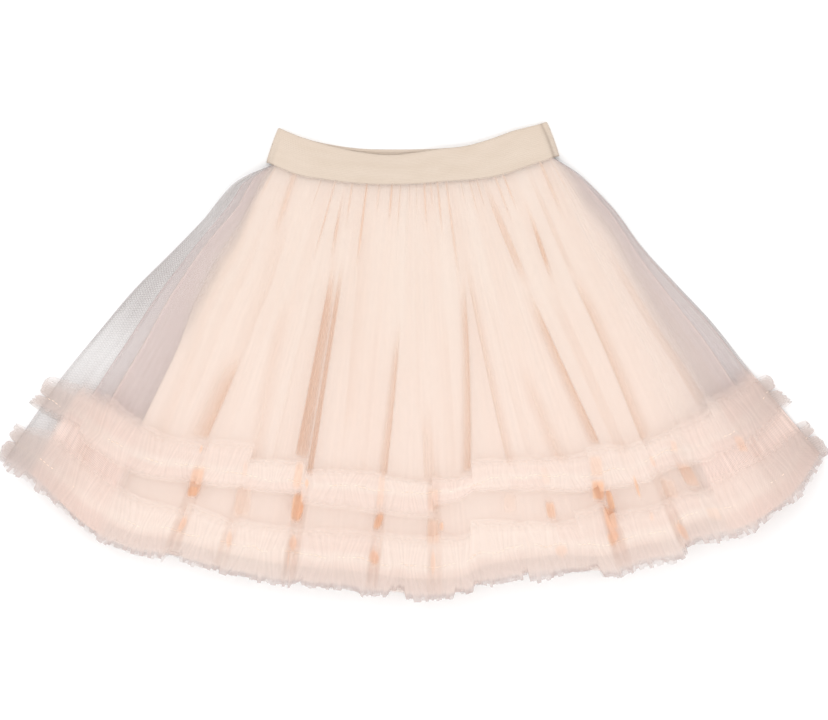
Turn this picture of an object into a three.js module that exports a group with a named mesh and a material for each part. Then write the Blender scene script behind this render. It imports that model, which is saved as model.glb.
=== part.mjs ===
// A child's tulle skirt, laid flat on its back with the waist towards +Y.
// Three tulle layers and a lining, each a front and a back panel, are gathered into an elastic waistband.
// Two gathered ruffles cross the outer layer near its hem, on the front and on the back.
// Sizes are in millimetres and angles in degrees. The origin is at the middle of the part, on the floor.
import * as THREE from "three";

const { clamp, lerp, smoothstep, degToRad } = THREE.MathUtils;

// Walls and the spaces between them
const CLOTH = 1;
const ELASTIC = 2;
const PRESSED_RUFFLE = 2;
const SEAM_GAP = 0.3;
const FLOOR_LIFT = ELASTIC + SEAM_GAP;
const SEAM_PITCH = CLOTH + SEAM_GAP;
const OPEN_PITCH = 1.45;

// The plan is a fan: every gore of the skirt runs from the waist seam to the hem about one centre
const FAN_CENTRE = { x: 1.5, y: 314 };
const FAN_HALF = 41.4;
const WAIST_INSET = 1.2;
const TUCK = -0.014;

// Radius of the hem about the fan's centre
const HEM = [
  { angle: -41.4, radius: 536 },
  { angle: -38, radius: 533 },
  { angle: -32, radius: 541 },
  { angle: -28, radius: 541 },
  { angle: -24, radius: 531 },
  { angle: -20, radius: 526 },
  { angle: -14, radius: 521 },
  { angle: -7, radius: 516 },
  { angle: 0, radius: 520 },
  { angle: 4.5, radius: 519.5 },
  { angle: 7, radius: 511.5 },
  { angle: 14, radius: 514 },
  { angle: 18.6, radius: 527 },
  { angle: 22, radius: 529 },
  { angle: 25, radius: 535 },
  { angle: 27.5, radius: 531 },
  { angle: 32, radius: 542 },
  { angle: 37, radius: 542 },
  { angle: 41.4, radius: 531 },
];

// Radius of the waist seam and of the waistband's top edge, and how far the back's shows above the front's
const WAIST = [
  { angle: -41.4, seam: 192, top: 163.5, backRise: 0 },
  { angle: -33, seam: 185, top: 154.5, backRise: 0.3 },
  { angle: -25, seam: 176, top: 147.5, backRise: 1.5 },
  { angle: -16.6, seam: 169.5, top: 142.8, backRise: 3 },
  { angle: -8.3, seam: 165, top: 139.3, backRise: 4 },
  { angle: 0, seam: 162.7, top: 135.5, backRise: 3 },
  { angle: 8.3, seam: 162.5, top: 134, backRise: 0.6 },
  { angle: 16.6, seam: 166, top: 136.7, backRise: 0.3 },
  { angle: 25, seam: 171.5, top: 139.6, backRise: 0.3 },
  { angle: 33, seam: 176, top: 144.3, backRise: 0.2 },
  { angle: 41.4, seam: 184.5, top: 156, backRise: 0 },
];

// How far the sides stand out from a straight line, by the share of the length down from the waist seam
const SIDES = [
  { share: 0, left: 0, right: 0 },
  { share: 0.05, left: 17, right: 9 },
  { share: 0.11, left: 19, right: 12 },
  { share: 0.18, left: 17, right: 12.5 },
  { share: 0.3, left: 19, right: 7.5 },
  { share: 0.42, left: 22, right: 8 },
  { share: 0.55, left: 20, right: 9 },
  { share: 0.7, left: 16.5, right: 4.5 },
  { share: 0.85, left: 9, right: 2 },
  { share: 1, left: 0, right: 0 },
];
// The angle from which the cloth takes part in that, near the waist and below, and where it changes
const SIDE_REACH = { atWaist: 37, below: 18, from: 0.1, to: 0.4 };
// The layers' sides start close together at the waist seam and part until this share of the length
const PARTING = { atWaist: 0.2, until: 0.7, power: 2.2 };

// The waistband's ends lean out towards the top. Its front slopes up from the mouth and lies on the pile
const BAND_FLARE = 1.1;
const BAND_SHOULDER = 0.8;
const BAND_LIES_FROM = 0.72;
const BAND_ROWS = [0, BAND_LIES_FROM / 2, BAND_LIES_FROM, 1];
const BAND_STEPS = 24;
const BAND_MOUTH = 3;

// The large folds: where each meets the hem and the waist, how deep and how wide it is, and the share of the
// skirt's length that it starts and ends at
const FOLDS = [
  { hem: -34.8, waist: -38.9, depth: 0.45, half: 1.3, from: 0.55, to: 1.1 },
  { hem: -28.1, waist: -35.5, depth: 0.5, half: 1.5, from: 0, to: 0.85 },
  { hem: -23.5, waist: -29.3, depth: 0.85, half: 1.2, from: 0.15, to: 1.1 },
  { hem: -18.6, waist: -23.6, depth: 0.6, half: 1.3, from: 0.05, to: 1.1 },
  { hem: -12.4, waist: -19.4, depth: 1, half: 1.4, from: 0, to: 1.1 },
  { hem: -8.2, waist: -12.5, depth: 0.35, half: 1.1, from: 0, to: 1.1 },
  { hem: -4.4, waist: -4.6, depth: 0.85, half: 1.1, from: 0.3, to: 1.1 },
  { hem: 1.7, waist: 0.7, depth: 0.75, half: 1.2, from: 0.45, to: 1.1 },
  { hem: 5.4, waist: 6.4, depth: 0.9, half: 1.1, from: 0.1, to: 0.85 },
  { hem: 10.1, waist: 11.4, depth: 0.75, half: 1.3, from: 0.1, to: 1.1 },
  { hem: 15, waist: 16, depth: 0.65, half: 1.3, from: 0.5, to: 1.1 },
  { hem: 19.2, waist: 20.2, depth: 1, half: 1.4, from: 0, to: 1.1 },
  { hem: 23.7, waist: 27.8, depth: 0.75, half: 1.1, from: 0.05, to: 1.1 },
  { hem: 26.9, waist: 33.4, depth: 0.85, half: 1.1, from: 0, to: 1.1 },
  { hem: 29.9, waist: 38, depth: 0.75, half: 1.1, from: 0.2, to: 1.1 },
  { hem: 35.7, waist: 39.8, depth: 0.5, half: 1.3, from: 0.4, to: 1.1 },
];
const FOLD_EASE = 0.12;
const FOLD_HEIGHT = 12;
const FOLD_GROWTH = 0.75;
// Small gathers, one to every second column of points, rise below the seam and die out
const GATHERS = { height: 1.2, fullBy: 0.04, fadeFrom: 0.1, end: 0.4 };
// Widest spacing of a panel's columns of points
const FINE_COLUMN = 1.55;
const PLAIN_COLUMN = 4;
const SAME_COLUMN = 0.05;
// Near its side folds, each layer's front rounds down to its back over this angle
const SIDE_ROUND = 6;

// The layers from the outside in: where each one's side folds meet the hem, where it ends, and how much of
// the outer layer's large folds its front repeats
const LAYERS = [
  { name: "outer_tulle", left: 41.4, right: 41.4, hem: 0.985, follow: 1 },
  { name: "second_tulle", left: 37.4, right: 39.9, hem: 0.985, follow: 0.4 },
  { name: "third_tulle", left: 35.7, right: 38.2, hem: 0.985, follow: 0 },
  { name: "lining", left: 32, right: 35, hem: 0.95, follow: 0 },
];

// The ruffles: strips stitched along a line, with both edges free, which sag towards the sides. Each place is
// a share of the skirt's length
const RUFFLES = [
  {
    name: "upper_ruffle",
    middle: { upper: 0.697, stitch: 0.742, lower: 0.788 },
    side: { upper: 0.745, stitch: 0.785, lower: 0.83 },
  },
  {
    name: "lower_ruffle",
    middle: { upper: 0.848, stitch: 0.918, lower: 1 },
    side: { upper: 0.89, stitch: 0.935, lower: 1 },
  },
];
const RUFFLE_LIFT = 5;
const RUFFLE_CURL = 1.5;
const RUFFLE_WAVE = 1.8;
const RUFFLE_EAR = { stitched: 1.5, free: 6 };
// Rows of a ruffle, from its upper edge over the stitching at 0 to its lower edge
const FRONT_TURNS = [-1, -0.5, 0, 0.5, 1];
const BACK_TURNS = [-1, 0, 1];

// The back lies on the floor between these shares, clear of the waistband above it and the ruffles below
const RESTS = { from: 0.12, fullTo: 0.58, to: 0.69 };
// Shares of the length at which the panels have a row of points, besides their hem
const FRONT_ROWS = [TUCK, 0, 0.04, 0.1, 0.18, 0.3, 0.44, RESTS.fullTo, RESTS.to, 0.76, 0.83, 0.91];
const BACK_ROWS = [TUCK, 0, 0.06, RESTS.from, 0.2, 0.3, 0.44, RESTS.fullTo, RESTS.to, 0.83];
const BACK_COLUMNS = 14;

const COLOURS = { tulle: 0xfbe6da, lining: 0xf8dccb, elastic: 0xe9d8c6 };

// A column of a table at any value of its first column, on a smooth curve through the rows
function readTable(table, key, value, column) {
  const last = table.length - 1;
  const at = clamp(value, table[0][key], table[last][key]);
  let k = 0;
  while (k < last - 1 && table[k + 1][key] < at) k += 1;
  const [here, next] = [table[k], table[k + 1]];
  const before = table[Math.max(k - 1, 0)];
  const after = table[Math.min(k + 2, last)];
  const width = next[key] - here[key];
  const t = (at - here[key]) / width;
  const leaving = ((next[column] - before[column]) / (next[key] - before[key])) * width;
  const arriving = ((after[column] - here[column]) / (after[key] - here[key])) * width;
  const cubic = 2 * here[column] - 2 * next[column] + leaving + arriving;
  const square = 3 * next[column] - 3 * here[column] - 2 * leaving - arriving;
  return ((cubic * t + square) * t + leaving) * t + here[column];
}

// Which angle of the waist a gore comes from, given its angle at the hem
function waistAngle(hemAngle) {
  const edge = (side) => ({ hem: side * FAN_HALF, waist: side * (FAN_HALF - WAIST_INSET) });
  const gores = [edge(-1), ...FOLDS, edge(1)];
  let k = 0;
  while (k < gores.length - 2 && gores[k + 1].hem < hemAngle) k += 1;
  const share = (hemAngle - gores[k].hem) / (gores[k + 1].hem - gores[k].hem);
  return lerp(gores[k].waist, gores[k + 1].waist, share);
}

function onFan(angle, radius) {
  const turn = degToRad(angle);
  return new THREE.Vector2(FAN_CENTRE.x + radius * Math.sin(turn), FAN_CENTRE.y - radius * Math.cos(turn));
}

// Plan position of a gore's point, v of the way from the waist seam to the hem
function planPoint(angle, v) {
  const fromWaist = waistAngle(angle);
  const waist = onFan(fromWaist, readTable(WAIST, "angle", fromWaist, "seam"));
  const hem = onFan(angle, readTable(HEM, "angle", angle, "radius"));
  const point = waist.lerp(hem, v);
  const reach = lerp(SIDE_REACH.atWaist, SIDE_REACH.below, smoothstep(v, SIDE_REACH.from, SIDE_REACH.to));
  const side = angle < 0 ? "left" : "right";
  const outwards = readTable(SIDES, "share", v, side) * smoothstep(Math.abs(angle), reach, FAN_HALF);
  point.x += Math.sign(angle) * outwards;
  return point;
}

// Height of the large folds, from 0 in the bottom of a fold to 1 between folds
function foldShape(angle, v) {
  let height = 1;
  for (const fold of FOLDS) {
    const across = (angle - fold.hem) / fold.half;
    if (Math.abs(across) >= 1) continue;
    const begun = smoothstep(v, fold.from - FOLD_EASE, fold.from + FOLD_EASE);
    const ended = smoothstep(v, fold.to - FOLD_EASE, fold.to);
    height -= (fold.depth * begun * (1 - ended) * (1 + Math.cos(Math.PI * across))) / 2;
  }
  return height;
}

const foldHeight = (v) => FOLD_HEIGHT * Math.max(v, 0) ** FOLD_GROWTH;

// How far a layer's front has rounded up from its side fold, from 0 at the fold to 1
function sideRound(layer, angle) {
  const edge = angle < 0 ? layer.left : layer.right;
  const inside = clamp((edge - Math.abs(angle)) / SIDE_ROUND, 0, 1);
  return Math.sqrt(inside * (2 - inside));
}

const gatherHeight = (v) =>
  GATHERS.height * smoothstep(v, 0, GATHERS.fullBy) * (1 - smoothstep(v, GATHERS.fadeFrom, GATHERS.end));

const pitchAt = (v) => lerp(SEAM_PITCH, OPEN_PITCH, smoothstep(v, 0, RESTS.from));
const parted = (v) => 1 - (1 - clamp(v / PARTING.until, 0, 1)) ** PARTING.power;

// Height of the pile's lowest panel: on the floor, but lifted over the waistband and the ruffles under it
function floorLift(v) {
  if (v < RESTS.from) return FLOOR_LIFT * (1 - Math.max(v, 0) / RESTS.from);
  return FLOOR_LIFT * clamp((v - RESTS.fullTo) / (RESTS.to - RESTS.fullTo), 0, 1);
}

// How many layers lie in the pile at a column: all of them inside the lining's sides, one at the outer sides
function layersAt(angle) {
  const edges = LAYERS.map((layer) => (angle < 0 ? layer.left : layer.right));
  const away = Math.abs(angle);
  const k = edges.findLastIndex((edge) => edge >= away - 1e-6);
  if (k === LAYERS.length - 1) return LAYERS.length;
  return k + 1 + (edges[k] - away) / (edges[k] - edges[k + 1]);
}

// Columns of points across a layer's front, by their angle at the hem. Those outside the lining's sides run
// together towards the end of the waist seam
function frontColumns(layer) {
  const inner = LAYERS.at(-1);
  const finest = layer.follow === 1 ? FINE_COLUMN : PLAIN_COLUMN;
  const sides = LAYERS.flatMap((other) => [-other.left, other.right]);
  const folds = FOLDS.flatMap((fold) => [fold.hem - fold.half, fold.hem, fold.hem + fold.half]);
  const marks = (layer.follow > 0 ? [...sides, ...folds] : sides)
    .filter((angle) => angle >= -layer.left && angle <= layer.right)
    .sort((a, b) => a - b);
  const angles = [marks[0]];
  for (const mark of marks.slice(1)) {
    const start = angles.at(-1);
    if (mark - start < SAME_COLUMN) continue;
    const steps = Math.ceil((mark - start) / finest);
    for (let n = 1; n <= steps; n += 1) angles.push(lerp(start, mark, n / steps));
  }
  return angles.map((angle) => ({ angle, sideways: angle < -inner.left || angle > inner.right }));
}

// The angle that a column has reached at a share of the length
function columnAngle(column, v) {
  if (!column.sideways) return column.angle;
  const edge = Math.sign(column.angle) * FAN_HALF;
  return lerp(edge, column.angle, lerp(PARTING.atWaist, 1, parted(v)));
}

// Closes a grid of points into one solid: its under side, its upper side and a rim.
// under[row][column] and over[row][column] share their place in the plan
function closedSolid(under, over) {
  const rows = under.length;
  const columns = under[0].length;
  const positions = [...under, ...over].flatMap((row) => row.flatMap((point) => point.toArray()));
  const low = (i, j) => i * columns + j;
  const high = (i, j) => (rows + i) * columns + j;
  const faces = [];
  const quad = (a, b, c, d) => faces.push(a, b, c, a, c, d);
  for (let i = 0; i < rows - 1; i += 1)
    for (let j = 0; j < columns - 1; j += 1) {
      quad(high(i, j), high(i + 1, j), high(i + 1, j + 1), high(i, j + 1));
      quad(low(i, j), low(i, j + 1), low(i + 1, j + 1), low(i + 1, j));
    }
  const rim = [];
  for (let j = 0; j < columns - 1; j += 1) rim.push([0, j]);
  for (let i = 0; i < rows - 1; i += 1) rim.push([i, columns - 1]);
  for (let j = columns - 1; j > 0; j -= 1) rim.push([rows - 1, j]);
  for (let i = rows - 1; i > 0; i -= 1) rim.push([i, 0]);
  rim.forEach(([i, j], n) => {
    const [nextI, nextJ] = rim[(n + 1) % rim.length];
    quad(low(i, j), high(i, j), high(nextI, nextJ), low(nextI, nextJ));
  });
  const geometry = new THREE.BufferGeometry();
  geometry.setAttribute("position", new THREE.Float32BufferAttribute(positions, 3));
  geometry.setIndex(faces);
  return geometry;
}

// The upper side of a wall over a grid of points, with the upright thickness that a sloping wall of this
// thickness has
function wallOver(under, thickness) {
  const steepest = 2;
  return under.map((row) =>
    row.map((point, j) => {
      const beside = [row[j - 1] ?? row[j + 1], row[j + 1] ?? row[j - 1]];
      const slopes = beside.map((next) => {
        const run = Math.hypot(next.x - point.x, next.y - point.y);
        return Math.abs(next.z - point.z) / run;
      });
      const slope = Math.min((slopes[0] + slopes[1]) / 2, steepest);
      return new THREE.Vector3(point.x, point.y, point.z + thickness * Math.hypot(1, slope));
    }),
  );
}

function meshOf(name, geometry, colour) {
  const material = new THREE.MeshStandardMaterial({ color: colour, roughness: 0.9, metalness: 0 });
  const mesh = new THREE.Mesh(geometry, material);
  mesh.name = name;
  return mesh;
}

// A layer's front panel: its columns, its rows, and the two sides of its wall
function frontPanel(layer, index) {
  const columns = frontColumns(layer);
  const rows = [...FRONT_ROWS, layer.hem];
  const under = rows.map((v) =>
    columns.map((column, j) => {
      const plan = planPoint(columnAngle(column, v), v);
      const layers = lerp(LAYERS.length, layersAt(column.angle), parted(v));
      const rounded = foldShape(column.angle, v) * sideRound(layer, column.angle);
      let z = floorLift(v) + pitchAt(v) * (2 * layers - index - 1) + layer.follow * foldHeight(v) * rounded;
      if (layer.follow === 1 && !column.sideways && j % 2 === 1) z += gatherHeight(v);
      return new THREE.Vector3(plan.x, plan.y, z);
    }),
  );
  return { columns, rows, under, over: wallOver(under, CLOTH) };
}

// A back panel lies flat under the front, with the same sides
function backPanel(layer, index) {
  const across = Array.from({ length: BACK_COLUMNS + 1 }, (_, n) => n / BACK_COLUMNS);
  const under = [...BACK_ROWS, layer.hem].map((v) => {
    const left = columnAngle({ angle: -layer.left, sideways: true }, v);
    const right = columnAngle({ angle: layer.right, sideways: true }, v);
    return across.map((share) => {
      const plan = planPoint(lerp(left, right, share), v);
      return new THREE.Vector3(plan.x, plan.y, floorLift(v) + pitchAt(v) * index);
    });
  });
  return closedSolid(under, wallOver(under, CLOTH));
}

// Share of the length that a row of a ruffle lies at, by its turn from the upper edge at -1 to the lower at 1
function ruffleShare(ruffle, angle, turn) {
  const sag = (angle / FAN_HALF) ** 2;
  const at = (place) => lerp(ruffle.middle[place], ruffle.side[place], sag);
  return lerp(at("stitch"), at(turn < 0 ? "upper" : "lower"), Math.abs(turn));
}

// A point of a panel's upper side at any share of the length, in one of its columns
function pointOver(panel, v, j) {
  const { rows, over } = panel;
  const k = Math.min(rows.filter((row) => row <= v).length, rows.length - 1) - 1;
  return over[k][j].clone().lerp(over[k + 1][j], (v - rows[k]) / (rows[k + 1] - rows[k]));
}

// A ruffle stands out past the skirt's side folds, at both ends of a row of its points
function withEars(row, turn) {
  const reach = lerp(RUFFLE_EAR.stitched, RUFFLE_EAR.free, Math.abs(turn));
  const ear = (end, inner) => end.clone().add(end.clone().sub(inner).setZ(0).setLength(reach));
  return [ear(row[0], row[1]), ...row, ear(row.at(-1), row.at(-2))];
}

// A ruffle on the front: the outer panel's points moved out, lifting and waving more towards the free edges
function frontRuffle(ruffle, outer) {
  const under = FRONT_TURNS.map((turn) => {
    const free = Math.abs(turn);
    const row = outer.columns.map((column, j) => {
      const point = pointOver(outer, ruffleShare(ruffle, column.angle, turn), j);
      point.z += SEAM_GAP + RUFFLE_LIFT * free ** RUFFLE_CURL + (j % 2) * RUFFLE_WAVE * free;
      return point;
    });
    return withEars(row, turn);
  });
  return closedSolid(under, wallOver(under, CLOTH));
}

// A ruffle on the back, pressed flat between the skirt and the floor
function backRuffle(ruffle, outer) {
  const under = BACK_TURNS.map((turn) => {
    const row = outer.columns
      .filter((_, j) => j % 2 === 0 || j === outer.columns.length - 1)
      .map((column) => {
        const v = ruffleShare(ruffle, column.angle, turn);
        const plan = planPoint(columnAngle(column, v), v);
        return new THREE.Vector3(plan.x, plan.y, 0);
      });
    return withEars(row, turn);
  });
  return closedSolid(under, wallOver(under, PRESSED_RUFFLE));
}

// One side of the waistband, from its top edge down to the waist seam
function waistband(isFront) {
  const pile = FLOOR_LIFT + SEAM_PITCH * 2 * LAYERS.length;
  const shoulder = FAN_HALF - BAND_SHOULDER;
  const inner = Array.from({ length: BAND_STEPS + 1 }, (_, n) => lerp(-shoulder, shoulder, n / BAND_STEPS));
  const under = BAND_ROWS.map((down) =>
    [-FAN_HALF, ...inner, FAN_HALF].map((angle) => {
      const seam = readTable(WAIST, "angle", angle, "seam");
      const rise = isFront ? 0 : readTable(WAIST, "angle", angle, "backRise");
      const top = readTable(WAIST, "angle", angle, "top") - rise;
      const plan = onFan(angle * lerp(BAND_FLARE, 1, down), lerp(top, seam, down));
      const mouth = FLOOR_LIFT + BAND_MOUTH * (1 - (angle / FAN_HALF) ** 2);
      const slope = lerp(mouth, pile, smoothstep(down, 0, BAND_LIES_FROM));
      const front = Math.abs(angle) === FAN_HALF ? FLOOR_LIFT : slope;
      return new THREE.Vector3(plan.x, plan.y, isFront ? front : 0);
    }),
  );
  return closedSolid(under, wallOver(under, ELASTIC));
}

const skirt = new THREE.Group();
const outerFront = frontPanel(LAYERS[0], 0);
LAYERS.forEach((layer, index) => {
  const front = index === 0 ? outerFront : frontPanel(layer, index);
  const colour = layer.name === "lining" ? COLOURS.lining : COLOURS.tulle;
  skirt.add(meshOf(`${layer.name}_front`, closedSolid(front.under, front.over), colour));
  skirt.add(meshOf(`${layer.name}_back`, backPanel(layer, index), colour));
});
for (const ruffle of RUFFLES) {
  skirt.add(meshOf(`${ruffle.name}_front`, frontRuffle(ruffle, outerFront), COLOURS.tulle));
  skirt.add(meshOf(`${ruffle.name}_back`, backRuffle(ruffle, outerFront), COLOURS.tulle));
}
skirt.add(meshOf("waistband_front", waistband(true), COLOURS.elastic));
skirt.add(meshOf("waistband_back", waistband(false), COLOURS.elastic));

export default skirt;
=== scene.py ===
# %% [markdown]
# # A child's tulle skirt, laid flat on its back
# The skirt has three layers of soft net over a lining, gathered into a wide elastic, and two net ruffles near
# the hem. Every piece of cloth is one ring round the body that lies flattened: a front, two side folds and a
# back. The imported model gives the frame, and each ring here stands for that model's front and back panel.

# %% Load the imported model
import math

import bpy
import numpy as np
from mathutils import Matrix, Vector


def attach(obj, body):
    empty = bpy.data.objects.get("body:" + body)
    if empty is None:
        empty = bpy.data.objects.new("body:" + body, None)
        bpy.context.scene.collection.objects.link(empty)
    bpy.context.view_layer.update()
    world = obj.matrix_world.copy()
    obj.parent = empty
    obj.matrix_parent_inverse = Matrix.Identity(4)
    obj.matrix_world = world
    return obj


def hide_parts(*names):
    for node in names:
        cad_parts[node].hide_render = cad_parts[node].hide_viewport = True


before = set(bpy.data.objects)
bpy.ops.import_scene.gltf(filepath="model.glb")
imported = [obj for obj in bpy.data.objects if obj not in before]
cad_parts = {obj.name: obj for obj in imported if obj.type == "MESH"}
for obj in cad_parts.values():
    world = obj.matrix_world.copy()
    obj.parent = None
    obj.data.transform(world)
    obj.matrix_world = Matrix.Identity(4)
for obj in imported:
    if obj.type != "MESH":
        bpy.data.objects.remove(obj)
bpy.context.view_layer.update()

MM = 0.001


def put(name, data):
    """Puts a mesh, a light or a camera into the scene, unturned at the origin."""
    thing = bpy.data.objects.new(name, data)
    bpy.context.scene.collection.objects.link(thing)
    return thing


# %% [markdown]
# ## Tables and curves
# A skirt's cut is a few numbers at a few places. Each table here is a dictionary of named columns, and a
# smooth curve reads it anywhere between its rows.

# %% Reading a table
def mix(a, b, share):
    return a + (b - a) * share


def ease(x, low, high):
    t = np.clip((x - low) / (high - low), 0, 1)
    return t * t * (3 - 2 * t)


def by_side(angle, left, right):
    return np.where(angle < 0, left, right)


def along(table, key, column, at):
    """A column of a table at any value of its key, on a smooth curve through the rows."""
    x, y = np.array(table[key], float), np.array(table[column], float)
    at = np.clip(at, x[0], x[-1])
    k = np.clip(np.searchsorted(x, at) - 1, 0, len(x) - 2)
    before, after = np.maximum(k - 1, 0), np.minimum(k + 2, len(x) - 1)
    width = x[k + 1] - x[k]
    t = (at - x[k]) / width
    leaving = (y[k + 1] - y[before]) / (x[k + 1] - x[before]) * width
    arriving = (y[after] - y[k]) / (x[after] - x[k]) * width
    cubic = 2 * y[k] - 2 * y[k + 1] + leaving + arriving
    square = 3 * y[k + 1] - 3 * y[k] - 2 * leaving - arriving
    return ((cubic * t + square) * t + leaving) * t + y[k]


def straight(table, column, at):
    """A column of a table over its angles, in straight lines from row to row, so that steps stay sharp."""
    return np.interp(at, table["angle"], table[column])


# %% [markdown]
# ## The fan
# A gathered skirt laid flat opens like a fan: every gore runs from the waist seam to the hem about one
# centre. A place on it is an angle, counted at the hem, and a share of the length, 0 at the waist seam and 1
# at the hem. All the rings use it, so they lie on each other without any fitting.

# %% The fan's own sizes, in millimetres and degrees
FAN_X, FAN_Y, SIDE = 1.5, 314.0, 41.4

HEM = {
    "angle": [-41.4, -38, -32, -28, -24, -20, -14, -7, 0, 4.5, 7, 14, 18.6, 22, 25, 27.5, 32, 37, 41.4],
    "radius": [536, 533, 541, 541, 531, 526, 521, 516, 520, 519.5, 511.5, 514, 527, 529, 535, 531, 542, 542, 531],
}
WAIST = {
    "angle": [-41.4, -33, -25, -16.6, -8.3, 0, 8.3, 16.6, 25, 33, 41.4],
    "seam": [192, 185, 176, 169.5, 165, 162.7, 162.5, 166, 171.5, 176, 184.5],
    "top": [163.5, 154.5, 147.5, 142.8, 139.3, 135.5, 134, 136.7, 139.6, 144.3, 156],
    "back_rise": [0, 0.3, 1.6, 3.6, 5, 3, 0.6, 0.3, 0.3, 0.2, 0],
}
# How far the sides bulge past the gores' straight lines, and how far in from the side that begins
SIDES = {
    "share": [0, 0.05, 0.11, 0.18, 0.3, 0.42, 0.55, 0.7, 0.85, 1],
    "left": [0, 17, 19, 17, 19, 22, 20, 16.5, 9, 0],
    "right": [0, 9, 12, 12.5, 7.5, 8, 9, 4.5, 2, 0],
}
BULGE_FROM_AT_WAIST, BULGE_FROM_BELOW = 37, 18
# The gores lean: the angle that each leaves the waist at, for its angle at the hem
GORES = {
    "hem": [-41.4, -34.8, -28.1, -23.5, -18.6, -12.4, -8.2, -4.4, 1.7,
            5.4, 10.1, 15, 19.2, 23.7, 26.9, 29.9, 35.7, 41.4],
    "waist": [-40.2, -38.9, -35.5, -29.3, -23.6, -19.4, -12.5, -4.6, 0.7,
              6.4, 11.4, 16, 20.2, 27.8, 33.4, 38, 39.8, 40.2],
}


def on_fan(angle, radius):
    turn = np.radians(angle)
    return FAN_X + radius * np.sin(turn), FAN_Y - radius * np.cos(turn)


def plan(angle, v):
    """Where a gore's point lies, seen from above, in millimetres."""
    from_waist = np.interp(angle, GORES["hem"], GORES["waist"])
    waist_x, waist_y = on_fan(from_waist, along(WAIST, "angle", "seam", from_waist))
    hem_x, hem_y = on_fan(angle, along(HEM, "angle", "radius", angle))
    bulge = by_side(angle, along(SIDES, "share", "left", v), along(SIDES, "share", "right", v))
    outwards = bulge * ease(np.abs(angle), mix(BULGE_FROM_AT_WAIST, BULGE_FROM_BELOW, ease(v, 0.1, 0.4)), SIDE)
    return mix(waist_x, hem_x, v) + np.sign(angle) * outwards, mix(waist_y, hem_y, v)


hem_x, hem_y = plan(np.array([-SIDE, 0, SIDE]), np.ones(3))
print("hem at the left, middle and right, mm:", [(round(float(x)), round(float(y))) for x, y in zip(hem_x, hem_y)])


# %% [markdown]
# ## How the layers lie
# Laid flat, the pile is eight sheets thick in the middle: four backs under four fronts. The inner layers are
# narrower, so the pile thins in steps at the sides, where only the outer net is left. That step is what shows
# a net skirt's layers, and it sets how grey each strip at the sides looks.

# %% Layers, and the height of the pile
# Each layer reaches to an angle on both sides and to a share of the length. The inner ones follow the folds less
LAYERS = {
    "outer_tulle": {"left": 41.4, "right": 41.4, "hem": 0.985, "follow": 1.0},
    "second_tulle": {"left": 37.1, "right": 41.0, "hem": 0.985, "follow": 0.4},
    "third_tulle": {"left": 34.9, "right": 38.6, "hem": 0.985, "follow": 0.0},
    "lining": {"left": 30.7, "right": 35.0, "hem": 0.95, "follow": 0.0},
}
CLOTH, SEAM_PITCH, OPEN_PITCH, FLOOR_LIFT = 1.0, 1.3, 1.45, 2.3
FOLD_HEIGHT, SIDE_ROUND = 12.0, 6.0
BAND_UNTIL = 0.12  # the share of the length down to which the waistband lifts the cloth
LINING_LEFT, LINING_RIGHT = LAYERS["lining"]["left"], LAYERS["lining"]["right"]


def parted(v):
    """How far the layers' sides have parted, from 0 at the waist seam to 1."""
    return 1 - (1 - np.clip(v / 0.5, 0, 1)) ** 1.6


def layers_at(angle):
    """How many layers lie in the pile at an angle."""
    inner_first = list(LAYERS.values())[::-1]
    left = np.interp(-angle, [layer["left"] for layer in inner_first], [4, 3, 2, 1])
    right = np.interp(angle, [layer["right"] for layer in inner_first], [4, 3, 2, 1])
    return by_side(angle, left, right)


def floor_lift(v):
    """Height of the lowest sheet: on the floor, but lifted over the waistband and the ruffles under it."""
    near_band = FLOOR_LIFT * (1 - np.clip(v, 0, BAND_UNTIL) / BAND_UNTIL)
    return near_band + FLOOR_LIFT * np.clip((v - 0.58) / 0.11, 0, 1)


def pitch(v):
    return mix(SEAM_PITCH, OPEN_PITCH, ease(v, 0, BAND_UNTIL))


def gathered_angle(angle, v):
    """The angle that a gore has reached at v: those outside the lining run together towards the waist."""
    inner, away, blend_over = by_side(angle, LINING_LEFT, LINING_RIGHT), np.abs(angle), 8
    kept = inner - blend_over
    spread = mix(0.2, 1.0, parted(v))
    moved = SIDE - (SIDE - inner) * spread
    eased = kept + (away - inner + blend_over) / blend_over * (moved - inner + blend_over)
    outside = SIDE - (SIDE - away) * spread
    return np.sign(angle) * np.where(away <= kept, away, np.where(away <= inner, eased, outside))


def lies_at(angle, v):
    """Where a gathered layer's point lies, seen from above, in millimetres."""
    return plan(gathered_angle(angle, v), v)


print("sheets in the pile at 0, 34, 37 and 41 degrees:", 2 * layers_at(np.array([0, 34.0, 37, 41.4])))
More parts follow.
